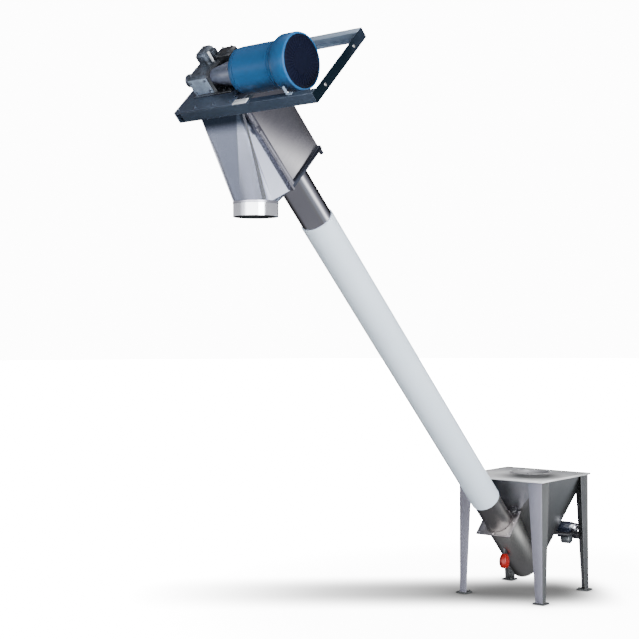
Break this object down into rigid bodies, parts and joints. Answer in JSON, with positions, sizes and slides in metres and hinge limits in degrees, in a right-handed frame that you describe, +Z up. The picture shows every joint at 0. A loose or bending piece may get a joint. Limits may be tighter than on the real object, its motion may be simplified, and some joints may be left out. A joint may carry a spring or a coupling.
{
  "type": "screw conveyor",
  "caption": "Inclined screw conveyor with a floor hopper on four legs, a straight tube, a discharge housing with a round spout, and a gear reducer and motor on a frame",
  "frame": {"origin": "underside of the foot at the corner of the hopper stand toward -X and -Y, under the leg's outer corner, on the floor", "axes": "Z up. The conveying tube rises toward -X in the XZ plane, the motor lies along Y with its fan end toward -Y."},
  "size_m": [3.024, 0.8945, 2.8465],
  "materials": {
    "stand_grey": "powder coated grey, semi-gloss",
    "hopper_steel": "dull stainless sheet",
    "polished_tube": "polished stainless tube",
    "white_pipe": "off-white pipe",
    "screw_steel": "bare steel",
    "black_steel": "black",
    "knob_red": "red knob",
    "vibrator_navy": "dark navy enamel",
    "housing_steel": "satin stainless sheet",
    "frame_paint": "dark slate paint",
    "cast_grey": "dark grey painted casting",
    "adapter_grey": "light grey casting",
    "motor_blue": "blue enamel",
    "cover_navy": "dark navy enamel"
  },
  "bodies": {
    "root": {"leg_front": "stand_grey", "leg_left": "stand_grey", "leg_right": "stand_grey", "leg_rear": "stand_grey", "foot_front": "stand_grey", "foot_left": "stand_grey", "foot_right": "stand_grey", "foot_rear": "stand_grey", "hopper_deck": "stand_grey", "inlet_collar": "stand_grey", "hopper_front_wall": "hopper_steel", "hopper_back_wall": "hopper_steel", "hopper_near_wall": "hopper_steel", "hopper_far_wall": "hopper_steel", "boot_trough": "hopper_steel", "boot_end_plate": "hopper_steel", "boot_flange": "hopper_steel", "lower_tube": "hopper_steel", "upper_tube": "polished_tube", "conveyor_tube": "white_pipe", "auger": "screw_steel", "clean_out_stub": "black_steel", "clean_out_knob": "knob_red", "vibrator_bracket": "black_steel", "vibrator_body": "vibrator_navy", "vibrator_cap": "polished_tube", "housing_shell": "housing_steel", "housing_bottom_plate": "housing_steel", "housing_top_plate": "housing_steel", "housing_flange": "housing_steel", "chute_flange": "housing_steel", "discharge_chute": "housing_steel", "discharge_spout": "housing_steel", "frame_plate": "frame_paint", "front_rail": "frame_paint", "rear_rail": "frame_paint", "end_rail": "frame_paint", "gear_case": "cast_grey", "worm_cap": "cast_grey", "motor_adapter": "adapter_grey", "motor_body": "motor_blue", "motor_fan_cover": "cover_navy", "left_rail": "frame_paint", "flange_clamp": "black_steel", "door_latch": "black_steel", "vibrator_foot": "cast_grey"}
  },
  "joints": []
}
